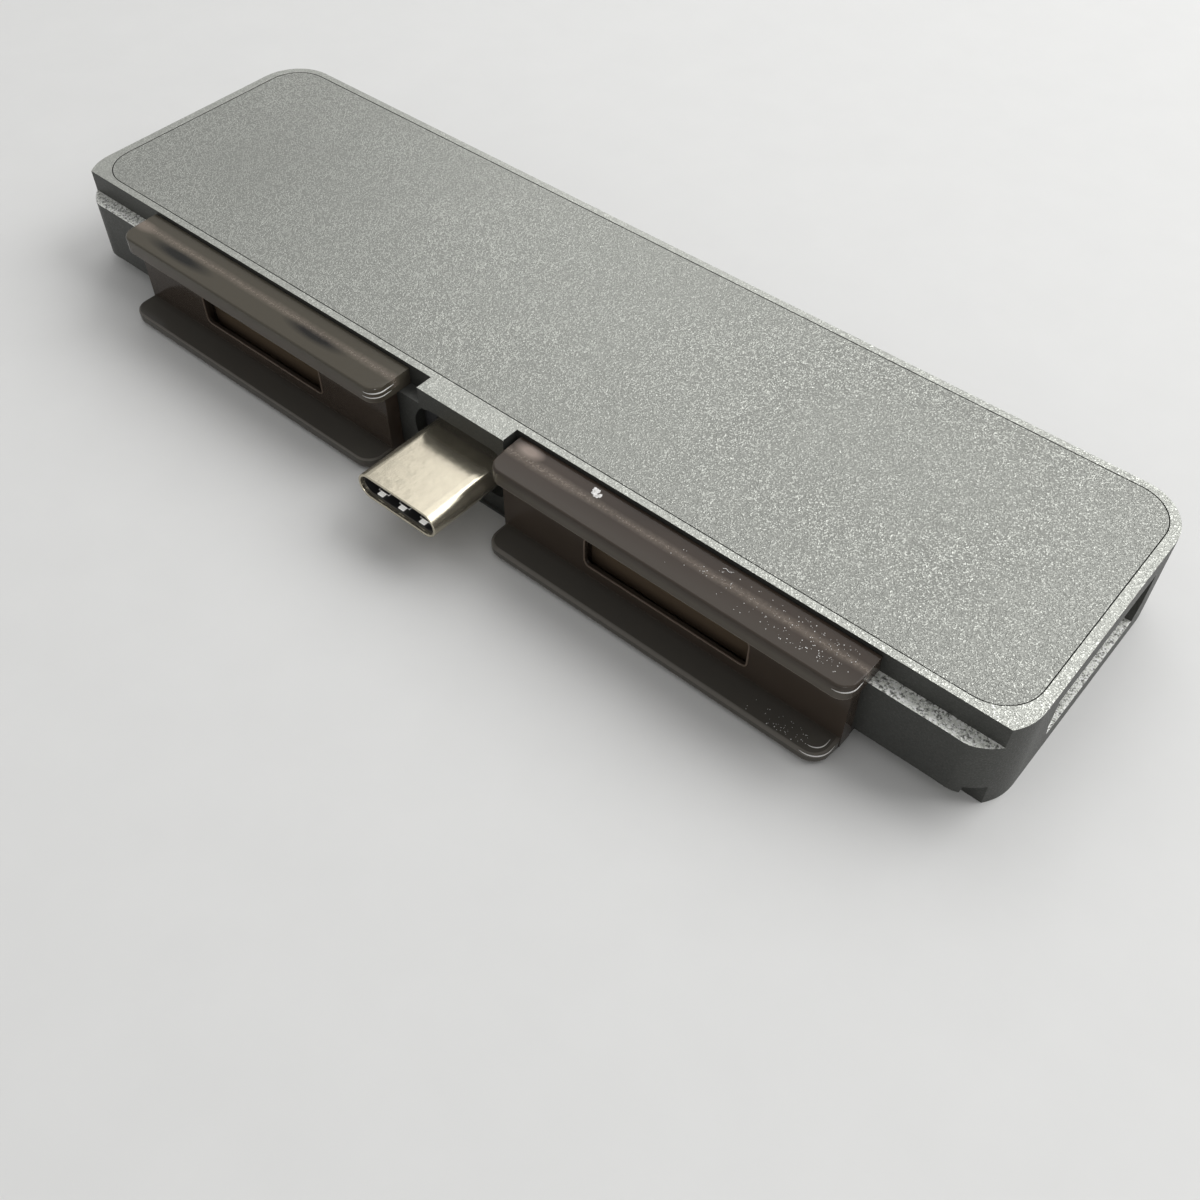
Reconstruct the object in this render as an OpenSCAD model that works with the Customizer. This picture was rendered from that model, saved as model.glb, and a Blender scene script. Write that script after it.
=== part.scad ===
// USB-C hub that clips on the edge of a tablet.
// Millimetres. The origin is the centre of the housing's bottom face, X runs along the length,
// the plug points to -Y, and Z is up.

/* [Housing] */
// Length of the housing
body_l = 96.4; // [88:0.1:110]
// Depth of the housing, from the front of the tab to the back
body_d = 27.3; // [26:0.1:34]
// Height of the housing
body_h = 8.65; // [8.4:0.05:10]
// Radius of the upright corners
corner_r = 4.2; // [3:0.1:6]
// Thickness of the end walls and the back wall
wall = 2.2; // [1.8:0.1:2.6]
// Thickness of the wall behind the front steps
front_wall = 1.9; // [1.6:0.1:2.4]
// Thickness of the floor
floor_t = 1.0; // [0.7:0.1:1.3]

/* [Front rail] */
// Depth of the steps along the front edge
step_d = 1.58; // [1.2:0.02:2]
// Height of the upper step
top_step_h = 1.97; // [1.7:0.01:2.3]
// Height of the lower step
low_step_h = 1.27; // [1.1:0.01:1.5]
// Height of the lower step where it runs out at the corners
low_end_h = 2.0; // [1.6:0.1:2.4]
// How far the rail's face is set back
rail_inset = 0.25; // [0.1:0.05:0.5]
// Distance from each end where the rail's face steps out to full depth
rail_end = 2.3; // [1.5:0.1:3]
// Width of the full-depth tab around the plug
tab_w = 9.1; // [8.6:0.1:9.8]
// Place of the plug and tab along the length
plug_x = 1.0; // [0:0.1:1.2]

/* [Top panel] */
// Thickness of the inset top panel
panel_t = 0.8; // [0.6:0.1:1]
// Width of the rim at the ends
rim_end = 0.85; // [0.5:0.05:1.2]
// Width of the rim at the front and the back
rim_side = 0.65; // [0.5:0.05:0.9]
// Radius of the panel's corners
panel_r = 3.4; // [2.5:0.1:4]
// Seam around the panel
seam = 0.08; // [0.05:0.01:0.12]
// Thickness of the adhesive under the panel
tape_t = 0.15; // [0.1:0.05:0.2]

/* [Clips] */
// Length of each soft clip
clip_l = 31.9; // [28:0.1:34]
// Distance from the middle of the housing to each clip's inner end
clip_in = 6.0; // [5.9:0.1:7]
// Reach of the upper lip in front of the tab's face
lip_reach = 2.4; // [2:0.1:3]
// Reach of the lower shelf in front of the tab's face
shelf_reach = 3.65; // [3:0.05:4.5]
// Thickness of the upper lip
lip_t = 1.55; // [1.2:0.05:1.55]
// Radius of the upper lip's front corners in plan
lip_r = 1.2; // [0.8:0.1:2]
// Thickness of the lower shelf
shelf_t = 0.95; // [0.9:0.05:1]
// Reach of the web in front of the tab's face
web_reach = 1.07; // [0.8:0.01:1.4]
// Thickness of the web in front of the slot's hollow
web_t = 0.35; // [0.3:0.05:0.5]
// Radius of the lower shelf's front corners in plan
shelf_r = 1.5; // [1:0.1:2]
// Length of the slot in each web
slot_l = 15; // [10:0.1:18]
// Height of the slot in each web
slot_h = 2.9; // [2:0.1:3.2]
// Gap between a clip and the metal that it sits in
clip_gap = 0.05; // [0.03:0.01:0.1]

/* [Plug] */
// Width of the plug's shell
plug_w = 8.25; // [8.2:0.01:8.35]
// Height of the plug's shell
plug_h = 2.4; // [2.35:0.01:2.5]
// Thickness of the plug's shell
plug_wall = 0.22; // [0.15:0.01:0.25]
// How far the plug stands out from the tab
plug_out = 7.3; // [6.2:0.1:8]
// Length of the shell behind the tab's face
plug_back = 5.2; // [4.8:0.1:6]
// Depth of the hollow in the plug's mouth
mouth_d = 5.1; // [4:0.1:5.5]
// Width of the rounded opening around the plug
port_w = 11; // [10:0.1:11.2]
// Height of the rounded opening around the plug
port_h = 5.2; // [3.6:0.1:5.2]

/* [Sockets] */
// Width of the video socket's opening
video_w = 14.2; // [13.8:0.1:14.6]
// Height of the video socket's opening
video_h = 4.6; // [4.4:0.1:4.8]
// Width of the data socket's opening
data_w = 12.8; // [12.5:0.1:13.2]
// Height of the data socket's opening
data_h = 5.2; // [5:0.1:5.4]
// Width of the power socket's opening
power_w = 9.0; // [8.8:0.1:9.4]
// Height of the power socket's opening
power_h = 3.2; // [3:0.1:3.4]
// Distance from the left end to the middle of the power socket
power_in = 22.2; // [21.8:0.1:23]
// Radius of the headphone socket's bore
audio_r = 1.8; // [1.75:0.01:1.85]
// Place of the headphone socket along the length
audio_x = 22; // [21:0.5:23]
// Width of the card slot
card_w = 24.6; // [24.2:0.1:25]
// Height of the card slot
card_h = 2.4; // [2.2:0.1:2.6]
// Place of the card slot along the length
card_x = 1; // [0:0.5:2]
// Wall thickness of the sockets' metal shells
shell_t = 0.3; // [0.2:0.05:0.35]

/* [Boards] */
// Thickness of the main board
board_t = 0.8; // [0.6:0.1:1]
// Gap between the main board and the housing's walls
board_gap = 0.5; // [0.3:0.1:0.8]
// Radius of the posts under the board
post_r = 1.7; // [1.5:0.1:2]
// Radius of the board screws' shanks
screw_r = 0.6; // [0.5:0.05:0.8]
// Side of the hub chip
hub_side = 8; // [6:0.5:9]
// Side of the video chip
video_side = 6; // [5:0.5:7]

/* [Hidden] */
$fn = 64;
eps = 0.01;

front_y = -body_d / 2;
back_y = body_d / 2;
end_x = body_l / 2;
rail_y = front_y + rail_inset;
step_y = front_y + step_d;
rail_top = body_h - top_step_h;
cav_x = end_x - wall;
cav_front = step_y + front_wall;
cav_back = back_y - wall;
cav_r = corner_r - wall + 0.3;
ledge_z = body_h - panel_t - tape_t;
panel_front = step_y + rim_side;
panel_back = back_y - rim_side;
port_z = body_h / 2;
board_z = port_z - board_t / 2;
board_top = port_z + board_t / 2;
board_x = cav_x - board_gap;
board_front = cav_front + board_gap;
board_back = cav_back - board_gap;
fit = 0.15;
solder = 0.02;
lip_drop = 0.4;
lip_top = body_h - lip_drop;
lip_z = lip_top - lip_t;
shelf_z = 0.25;
clip_mid = clip_in + clip_l / 2;
web_end = 0.3;
shelf_end = 0.35;
slot_z = 2.3;
slot_r = 0.5;
band_t = 0.25;
band_z = 1.5;
hollow_z = 0.55;
hollow_back = 0.6;

video_deep = 11.2;
video_block = 2.5;
data_block = 3;
data_deep = 13.4;
power_deep = 7.4;
audio_deep = 11.6;
card_deep = 14.5;
video_y = 0.65;
data_y = 0.6;
card_shell_t = 0.2;
card_z = board_z - card_shell_t - card_h;
audio_body = 5.2;
power_x = -end_x + power_in;
light_x = -end_x + 11.2;
light_r = 0.8;
screw_back = cav_back - 3.45;
screw_front = cav_front + 2.4;
screw_places = [
    [card_x - card_w / 2 - 3.7, screw_back], [-end_x + 33.7, screw_front],
    [end_x - 24.2, screw_front], [end_x - 16.7, screw_back]
];
screw_head_r = 1.3;
screw_head_t = 0.7;
chip_t = 0.9;
small_chip_t = 0.75;
hub_in = 26.2;
video_in = 18.2;
hub_x = -end_x + hub_in;
hub_y = -4;
video_chip_x = end_x - video_in;
video_chip_y = -5;
power_chip_side = 4;
power_chip_x = hub_x - hub_side / 2 - power_chip_side / 2 - 1.5;
audio_chip_w = 3;
audio_chip_d = 2.2;
crystal_w = 3.2;
crystal_d = 2.5;
cap_w = 0.8;
cap_l = 1.6;
cap_pitch = 1.5;
coil_r = 1.7;
coil_h = 1.8;
coil_pitch = 4;
coil_x = plug_x + 7.6;
coil_y = cav_front + 2.97;
contact_t = 0.12;
liner_t = 0.18;
mouth_w = plug_w - 2 * plug_wall - 2 * liner_t;
mouth_h = plug_h - 2 * plug_wall - 2 * liner_t;
mouth_y = front_y - plug_out + mouth_d;
plug_end = front_y + plug_back;
plug_tongue = 7;
socket_gap = 0.6;
spring_w = 1.1;
spring_pitch = 2.25;
boot_set = 1.2;
boot_back = 0.9;

module slab(x0, x1, y0, y1, z0, z1, r = 0) {
    translate([0, 0, z0])
        linear_extrude(z1 - z0)
            plan(x0, x1, y0, y1, r);
}

module plan(x0, x1, y0, y1, r = 0) {
    if (r > 0) {
        for (x = [x0 + r, x1 - r]) for (y = [y0 + r, y1 - r])
            translate([x, y]) circle(r);
        translate([x0 + r, y0]) square([x1 - x0 - 2 * r, y1 - y0]);
        translate([x0, y0 + r]) square([x1 - x0, y1 - y0 - 2 * r]);
    } else {
        translate([x0, y0]) square([x1 - x0, y1 - y0]);
    }
}

// A shape drawn in X and Z, pushed from y0 to y1
module along_y(y0, y1) {
    translate([0, y1, 0])
        rotate([90, 0, 0])
            linear_extrude(y1 - y0)
                children();
}

// A shape drawn in Y and Z, pushed from x0 to x1
module along_x(x0, x1) {
    translate([x0, 0, 0])
        rotate([90, 0, 90])
            linear_extrude(x1 - x0)
                children();
}

// Rounded slot outline about a centre
module stadium(cx, cy, w, h) {
    translate([cx, cy])
        plan(-w / 2, w / 2, -h / 2, h / 2, h / 2 - eps);
}

// Outline of the video socket: a box whose lower corners are cut
module video_outline(grow) {
    w = video_w / 2 + grow;
    h = video_h / 2 + grow;
    cut_w = 0.65;
    cut_h = 1.5;
    translate([video_y, port_z])
        polygon([
            [-w, h], [-w, -h + cut_h], [-w + cut_w, -h],
            [w - cut_w, -h], [w, -h + cut_h], [w, h]
        ]);
}

// Front steps, left open at the tab
module front_steps() {
    far = body_l;
    tab_l = plug_x - tab_w / 2;
    tab_r = plug_x + tab_w / 2;
    for (side = [[-far, tab_l], [tab_r, far]]) {
        slab(side[0], side[1], front_y - 1, step_y, rail_top, body_h + 1);
        slab(side[0], side[1], front_y - 1, step_y, -1, low_step_h);
    }
    for (s = [-1, 1])
        slab(
            min(s * (end_x - rail_end), s * far), max(s * (end_x - rail_end), s * far),
            front_y - 1, step_y, -1, low_end_h
        );
}

// Thin skin cut off the rail's face, following the outline round the corners
module rail_skin() {
    x = end_x - rail_end;
    difference() {
        slab(-x, x, front_y - 1, step_y - eps, low_step_h - 1, rail_top + eps);
        slab(
            -end_x + rail_inset, end_x - rail_inset, rail_y, back_y - rail_inset,
            -1, body_h, corner_r - rail_inset
        );
    }
}

module housing() {
    color("slategray")
    union() {
        difference() {
            slab(-end_x, end_x, front_y, back_y, 0, body_h, corner_r);
            front_steps();
            rail_skin();
            slab(-cav_x, cav_x, cav_front, cav_back, floor_t, body_h + 1, cav_r);
            slab(
                -end_x + rim_end, end_x - rim_end, panel_front, panel_back,
                ledge_z, body_h + 1, panel_r
            );
            along_y(front_y - 1, cav_front + 1) stadium(plug_x, port_z, port_w, port_h);
            along_x(cav_x - 1, end_x + 1) video_outline(0);
            along_x(-end_x - 1, -cav_x + 1)
                plan(
                    data_y - data_w / 2, data_y + data_w / 2,
                    port_z - data_h / 2, port_z + data_h / 2, 0.5
                );
            along_y(cav_back - 1, back_y + 1) stadium(power_x, port_z, power_w, power_h);
            along_y(cav_back - 1, back_y + 1)
                plan(card_x - card_w / 2, card_x + card_w / 2, card_z, card_z + card_h, 0.3);
            along_y(cav_back - 1, back_y + 1)
                translate([audio_x, port_z]) circle(audio_body / 2 - 0.3);
            along_y(cav_back - 1, back_y + 1) translate([light_x, port_z]) circle(light_r + 0.05);
        }
        difference() {
            for (p = screw_places)
                translate([p[0], p[1], floor_t - eps])
                    cylinder(r = post_r, h = board_z - floor_t + eps);
            for (p = screw_places)
                translate([p[0], p[1], floor_t + 0.4])
                    cylinder(r = screw_r + solder, h = board_z);
        }
    }
}

module top_panel() {
    color("gray")
        slab(
            -end_x + rim_end + seam, end_x - rim_end - seam,
            panel_front + seam, panel_back - seam,
            ledge_z + tape_t, body_h, panel_r - seam
        );
}

module panel_tape() {
    edge = seam + 0.1;
    color("black")
    difference() {
        slab(
            -end_x + rim_end + edge, end_x - rim_end - edge,
            panel_front + edge, panel_back - edge, ledge_z, ledge_z + tape_t, panel_r - edge
        );
        slab(
            -cav_x, cav_x, cav_front, cav_back, ledge_z - 1, ledge_z + 1, cav_r
        );
    }
}

// Plan of a shelf whose two front corners are round
module shelf_plan(x0, x1, y0, y1, corner) {
    r = min(corner, (y1 - y0) / 2);
    translate([x0, y0 + r]) square([x1 - x0, y1 - y0 - r]);
    translate([x0 + r, y0]) square([x1 - x0 - 2 * r, y1 - y0]);
    translate([x0 + r, y0 + r]) circle(r);
    translate([x1 - r, y0 + r]) circle(r);
}

// One clip, centred on mid: a lip and a shelf joined by a web. Behind the slot the web is
// hollow, with a thin band left against the rail
module clip(mid) {
    x0 = mid - clip_l / 2;
    x1 = mid + clip_l / 2;
    web_y = front_y - web_reach;
    color([0.3, 0.26, 0.24])
    difference() {
        union() {
            translate([0, 0, lip_z])
                linear_extrude(lip_t)
                    shelf_plan(x0, x1, front_y - lip_reach, step_y - clip_gap, lip_r);
            translate([0, 0, shelf_z])
                linear_extrude(shelf_t)
                    shelf_plan(x0 + shelf_end, x1 - shelf_end,
                        front_y - shelf_reach, step_y - clip_gap, shelf_r);
            slab(x0 + web_end, x1 - web_end, web_y, rail_y - clip_gap,
                shelf_z + eps, lip_z + eps);
        }
        along_y(web_y - 1, web_y + web_t + eps)
            plan(mid - slot_l / 2, mid + slot_l / 2, slot_z, slot_z + slot_h, slot_r);
        slab(mid - slot_l / 2 - slot_r, mid + slot_l / 2 + slot_r,
            web_y + web_t, rail_y - clip_gap - band_t, hollow_z, lip_z - slot_r);
        slab(mid - slot_l / 2 - slot_r, mid + slot_l / 2 + slot_r,
            web_y + web_t, rail_y + hollow_back, hollow_z, band_z);
    }
}

module left_clip() {
    clip(-clip_mid);
}

module right_clip() {
    clip(clip_mid);
}

module plug_shell() {
    color("silver")
    difference() {
        along_y(front_y - plug_out, front_y + plug_back)
            stadium(plug_x, port_z, plug_w, plug_h);
        along_y(front_y - plug_out - 1, front_y + plug_back + 1)
            stadium(plug_x, port_z, plug_w - 2 * plug_wall, plug_h - 2 * plug_wall);
    }
}

module plug_insulator() {
    color([0.1, 0.1, 0.1])
    difference() {
        along_y(front_y - plug_out + 0.35, front_y + plug_back)
            stadium(plug_x, port_z, plug_w - 2 * plug_wall, plug_h - 2 * plug_wall);
        along_y(front_y - plug_out - 1, mouth_y)
            stadium(plug_x, port_z, mouth_w, mouth_h);
        along_y(plug_end - 1, plug_end + 1)
            translate([plug_x - plug_tongue / 2 - 0.1, board_z])
                square([plug_tongue + 0.2, board_t]);
    }
}

// Two rows of contacts that end inside the mouth
module plug_contacts() {
    pitch = 0.5;
    count = 12;
    color("gold")
    for (i = [0 : count - 1]) {
        x = plug_x + (i - (count - 1) / 2) * pitch;
        for (s = [-1, 1]) {
            z = port_z + s * (mouth_h / 2 - 0.06);
            translate([x - 0.12, mouth_y - 2.6, z - 0.06]) cube([0.24, 2.6, 0.12]);
        }
    }
}

// Three bright spring tabs on each side of the mouth
module plug_springs() {
    color("white")
    for (i = [-1 : 1]) for (s = [-1, 1]) {
        z = port_z + s * (mouth_h / 2 - 0.07);
        translate([plug_x + i * spring_pitch - spring_w / 2, front_y - plug_out + 0.4, z - 0.07])
            cube([spring_w, 0.8, 0.14]);
    }
}

module plug_boot() {
    boot_front = front_y + boot_set;
    color([0.08, 0.08, 0.09])
    difference() {
        along_y(boot_front, cav_front + boot_back)
            stadium(plug_x, port_z, port_w - 0.1, port_h - 0.1);
        along_y(boot_front - 1, cav_front + 2) stadium(plug_x, port_z, plug_w, plug_h);
    }
}

module main_board() {
    notch = 0.3;
    color("darkgreen")
    difference() {
        slab(-board_x, board_x, board_front, board_back, board_z, board_top, 1.5);
        slab(cav_x - video_deep - notch, end_x, video_y - video_w / 2 - socket_gap,
            video_y + video_w / 2 + socket_gap, board_z - 1, board_top + 1);
        slab(-end_x, -cav_x + data_deep + notch, data_y - data_w / 2 - socket_gap,
            data_y + data_w / 2 + socket_gap, board_z - 1, board_top + 1);
        slab(power_x - power_w / 2 - socket_gap, power_x + power_w / 2 + socket_gap,
            cav_back - power_deep - notch, back_y, board_z - 1, board_top + 1);
        slab(audio_x - audio_body / 2 - notch, audio_x + audio_body / 2 + notch,
            cav_back - audio_deep - notch, back_y, board_z - 1, board_top + 1);
        difference() {
            slab(plug_x - port_w / 2 - notch, plug_x + port_w / 2 + notch,
                front_y, plug_end + 0.1, board_z - 1, board_top + 1);
            slab(plug_x - plug_tongue / 2, plug_x + plug_tongue / 2,
                plug_end - 0.9, plug_end + 1, board_z - 1, board_top + 1);
        }
        for (p = screw_places)
            translate([p[0], p[1], board_z - 1]) cylinder(r = screw_r + fit, h = board_t + 2);
    }
}

module chip(x, y, sx, sy, t) {
    translate([x - sx / 2, y - sy / 2, board_top]) cube([sx, sy, t]);
}

module hub_chip() {
    color([0.12, 0.12, 0.12]) chip(hub_x, hub_y, hub_side, hub_side, chip_t);
}

module heat_pad() {
    color("lightblue")
        slab(hub_x - hub_side / 2, hub_x + hub_side / 2, hub_y - hub_side / 2, hub_y + hub_side / 2,
            board_top + chip_t, ledge_z + tape_t);
}

module video_chip() {
    color([0.12, 0.12, 0.12]) chip(video_chip_x, video_chip_y, video_side, video_side, chip_t);
}

module power_chip() {
    color([0.12, 0.12, 0.12])
        chip(power_chip_x, hub_y - 1, power_chip_side, power_chip_side, small_chip_t);
}

module audio_chip() {
    color([0.12, 0.12, 0.12])
        chip(audio_x - 2.5, -3.4, audio_chip_w, audio_chip_d, small_chip_t);
}

module crystal() {
    color("silver")
        chip(
            hub_x + hub_side / 2 + crystal_w / 2 + 1.9, hub_y + 0.8,
            crystal_w, crystal_d, small_chip_t
        );
}

// Wound coils along the front of the board
module coils() {
    color("dimgray")
    for (i = [0 : 2])
        translate([coil_x + i * coil_pitch, coil_y, board_top])
            cylinder(r = coil_r, h = coil_h);
}

// Rows of small capacitors around the chips
module capacitors() {
    rows = [
        [hub_x - 3.5, hub_y + hub_side / 2 + cap_l, 5],
        [hub_x + hub_side / 2 + 7, hub_y - 2.2, 5],
        [card_x - 5, 3.5, 8]
    ];
    color("tan")
    for (row = rows) for (i = [0 : row[2] - 1])
        chip(row[0] + i * cap_pitch, row[1], cap_w, cap_l, cap_w);
}

module board_screws() {
    color("lightgray")
    for (p = screw_places) {
        translate([p[0], p[1], board_top]) cylinder(r = screw_head_r, h = screw_head_t);
        translate([p[0], p[1], floor_t + 0.6])
            cylinder(r = screw_r, h = board_top - floor_t - 0.6 + eps);
    }
}

module video_shell() {
    color("silver")
    difference() {
        along_x(cav_x - video_deep, cav_x) video_outline(shell_t);
        along_x(cav_x - video_deep + shell_t, cav_x + 1) video_outline(0);
    }
}

module video_insulator() {
    x0 = cav_x - video_deep + shell_t;
    color([0.1, 0.1, 0.1]) {
        along_x(x0, x0 + video_block) video_outline(0);
        slab(x0 + video_block - eps, cav_x - 1.2, video_y - video_w / 2 + 1.5,
            video_y + video_w / 2 - 1.5, port_z - 0.3, port_z + 1.3);
    }
}

module video_contacts() {
    x0 = cav_x - video_deep + shell_t + video_block;
    count = 10;
    pitch = (video_w - 4.2) / count;
    color("gold")
    for (i = [0 : count - 1])
        translate([x0, video_y + (i - (count - 1) / 2) * pitch - 0.16, port_z - 0.3 - contact_t])
            cube([video_deep - 5.8, 0.32, contact_t]);
}

module data_outline(grow) {
    plan(
        data_y - data_w / 2 - grow, data_y + data_w / 2 + grow,
        port_z - data_h / 2 - grow, port_z + data_h / 2 + grow, 0.5 + grow
    );
}

module data_shell() {
    color("silver")
    difference() {
        along_x(-cav_x, -cav_x + data_deep) data_outline(shell_t);
        along_x(-cav_x - 1, -cav_x + data_deep - shell_t) data_outline(0);
    }
}

module data_insulator() {
    x1 = -cav_x + data_deep - shell_t;
    color("white") {
        along_x(x1 - data_block, x1) data_outline(0);
        slab(-cav_x + 0.8, x1 - data_block + eps,
            data_y - data_w / 2 + 0.6, data_y + data_w / 2 - 0.6, port_z + 0.2, port_z + 2);
    }
}

module data_contacts() {
    x1 = -cav_x + data_deep - shell_t - data_block;
    pitch = (data_w - 3.2) / 4;
    color("gold")
    for (i = [0 : 3])
        translate([-cav_x + 1.6, data_y + (i - 1.5) * pitch - 0.5, port_z + 0.2 - contact_t])
            cube([x1 + cav_x - 1.6, 1, contact_t]);
}

module power_shell() {
    color("silver")
    difference() {
        along_y(cav_back - power_deep, cav_back)
            stadium(power_x, port_z, power_w + 2 * shell_t, power_h + 2 * shell_t);
        along_y(cav_back - power_deep + shell_t, cav_back + 1)
            stadium(power_x, port_z, power_w, power_h);
    }
}

module power_tongue() {
    y0 = cav_back - power_deep + shell_t;
    color([0.1, 0.1, 0.1]) {
        along_y(y0, y0 + 2) stadium(power_x, port_z, power_w, power_h);
        slab(power_x - 3.35, power_x + 3.35, y0 + 2 - eps, cav_back - 0.5,
            port_z - 0.35, port_z + 0.35);
    }
}

module audio_socket() {
    half = audio_body / 2;
    color([0.1, 0.1, 0.1])
    difference() {
        slab(audio_x - half, audio_x + half, cav_back - audio_deep, cav_back,
            port_z - half, port_z + half);
        along_y(cav_back - audio_deep + 1, cav_back + 1)
            translate([audio_x, port_z]) circle(audio_r);
        slab(audio_x + audio_r - 0.3, audio_x + half + 1, cav_back - 8, cav_back - 4,
            port_z - 0.6, port_z + 0.6);
    }
}

module audio_spring() {
    half = audio_body / 2;
    color("gold")
        slab(audio_x + audio_r + 0.1, audio_x + half, cav_back - 8, cav_back - 4,
            port_z - 0.6, port_z + 0.6);
}

module card_shell() {
    color("silver")
    difference() {
        slab(card_x - card_w / 2 - shell_t, card_x + card_w / 2 + shell_t,
            cav_back - card_deep, cav_back, card_z - card_shell_t, board_z);
        slab(card_x - card_w / 2, card_x + card_w / 2,
            cav_back - card_deep + shell_t, cav_back + 1, card_z, card_z + card_h);
    }
}

module card_contacts() {
    count = 9;
    pitch = (card_w - 2.1) / count;
    color("gold")
    for (i = [0 : count - 1])
        translate([
            card_x + (i - (count - 1) / 2) * pitch - 0.5, cav_back - card_deep + shell_t, card_z
        ])
            cube([1, 4, 2 * contact_t]);
}

module status_light() {
    color("white")
        along_y(board_back + 0.05, back_y - 0.1) translate([light_x, port_z]) circle(light_r);
}

housing();
top_panel();
panel_tape();
left_clip();
right_clip();
plug_shell();
plug_insulator();
plug_contacts();
plug_springs();
plug_boot();
main_board();
hub_chip();
heat_pad();
video_chip();
power_chip();
audio_chip();
crystal();
coils();
capacitors();
board_screws();
video_shell();
video_insulator();
video_contacts();
data_shell();
data_insulator();
data_contacts();
power_shell();
power_tongue();
audio_socket();
audio_spring();
card_shell();
card_contacts();
status_light();
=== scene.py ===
"""Looks of a slim tablet hub: blasted grey metal, smoky soft clips, a nickel plug and its sockets."""

import math
import random

import bmesh
import bpy
from bpy.props import FloatProperty, FloatVectorProperty, IntProperty, PointerProperty
from mathutils import Matrix, Vector


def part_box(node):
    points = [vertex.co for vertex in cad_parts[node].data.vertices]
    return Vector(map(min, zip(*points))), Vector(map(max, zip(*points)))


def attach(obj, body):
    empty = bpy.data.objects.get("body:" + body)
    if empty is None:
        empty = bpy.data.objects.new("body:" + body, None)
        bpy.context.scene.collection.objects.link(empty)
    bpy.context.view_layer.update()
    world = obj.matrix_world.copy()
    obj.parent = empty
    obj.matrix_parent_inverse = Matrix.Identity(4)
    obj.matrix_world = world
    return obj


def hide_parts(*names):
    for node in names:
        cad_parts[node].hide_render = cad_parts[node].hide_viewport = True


bl_info = {
    "name": "Tablet Hub Looks",
    "version": (1, 0, 0),
    "blender": (4, 5, 0),
    "location": "View3D > Sidebar > Tablet Hub",
    "description": "Dresses a packed tablet hub with its metal, soft clips, plug and sockets",
    "category": "Object",
}

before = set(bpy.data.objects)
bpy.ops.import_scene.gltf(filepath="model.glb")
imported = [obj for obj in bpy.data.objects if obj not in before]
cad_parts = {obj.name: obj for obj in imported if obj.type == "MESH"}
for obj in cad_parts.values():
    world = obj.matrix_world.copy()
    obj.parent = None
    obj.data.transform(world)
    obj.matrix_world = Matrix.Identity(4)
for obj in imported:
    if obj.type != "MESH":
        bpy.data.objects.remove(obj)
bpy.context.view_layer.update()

MM = 0.001
WELD = 0.002 * MM
FLAT_ANGLE = math.radians(1.0)
EDGE_ANGLE = math.radians(28)
SMOOTH_ANGLE = math.radians(35)
SENSOR_WIDTH = 36

# How much of a face's normal points straight up where the face counts as level
LEVEL = 0.7

# Along the length, where the metal's grain starts to show more and where it shows most: painted light,
# as the grain itself is the same all along
GRAIN_DIM_X = -22 * MM
GRAIN_LIT_X = 30 * MM

# Steps of a clip: back from its front, down from its top and up from its bottom
LIP_BACK = 1.25 * MM
WEB_BACK = 2.58 * MM
LIP_DEPTH = 1.6 * MM
LIP_EDGE = 0.9 * MM
SHELF_THICK = 0.95 * MM

# Painted reflections and highlights on the clips' lips, two dark and two bright: x, y and reach along x
# in mm, and colour. The reach along y and z is the same for all
SPOT_Y, SPOT_Z = 0.8 * MM, 1.6 * MM
LIP_REFLECTIONS = (
    (-31.3, -14.7, 4.6, (0.016, 0.016, 0.015)),
    (-14.6, -14.3, 4.0, (0.018, 0.017, 0.016)),
    (-37.4, -13.9, 2.0, (0.270, 0.225, 0.185)),
    (7.6, -12.9, 1.5, (0.420, 0.340, 0.290)),
)

# Painted glints round the clips' front corners: clip, then in mm how far each lies inside its front,
# right end and top, the radius of its turn, and its length before and after the turn
GLINT_LINES = (
    ("right_clip", 1.24, -0.01, 0.56, 1.2, 0.1, 0.6),
    ("right_clip", 0.75, 0.85, 7.04, 0.9, 0.1, 0.5),
    ("right_clip", 0.06, 0.34, 7.12, 1.4, 0.3, 0.5),
    ("left_clip", 1.24, -0.01, 0.50, 1.2, 0.0, 1.0),
    ("left_clip", 1.25, 0.02, 0.95, 1.2, 0.1, 1.1),
)

# Lamps: name, power as a share of the softbox setting, size, place, and if matte surfaces get it
LAMPS = (
    ("softbox_back", 1.5, (0.60, 0.50), (-0.08, 0.36, 0.43), True),
    ("softbox_right", 1.7, (0.38, 0.38), (0.26, 0.30, 0.37), True),
    ("kicker", 0.9, (0.10, 0.10), (0.33, -0.28, 0.25), False),
)


def low(node):
    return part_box(node)[0]


def high(node):
    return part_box(node)[1]


def middle(node):
    a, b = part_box(node)
    return (a + b) / 2


# Settings a user would change

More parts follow.
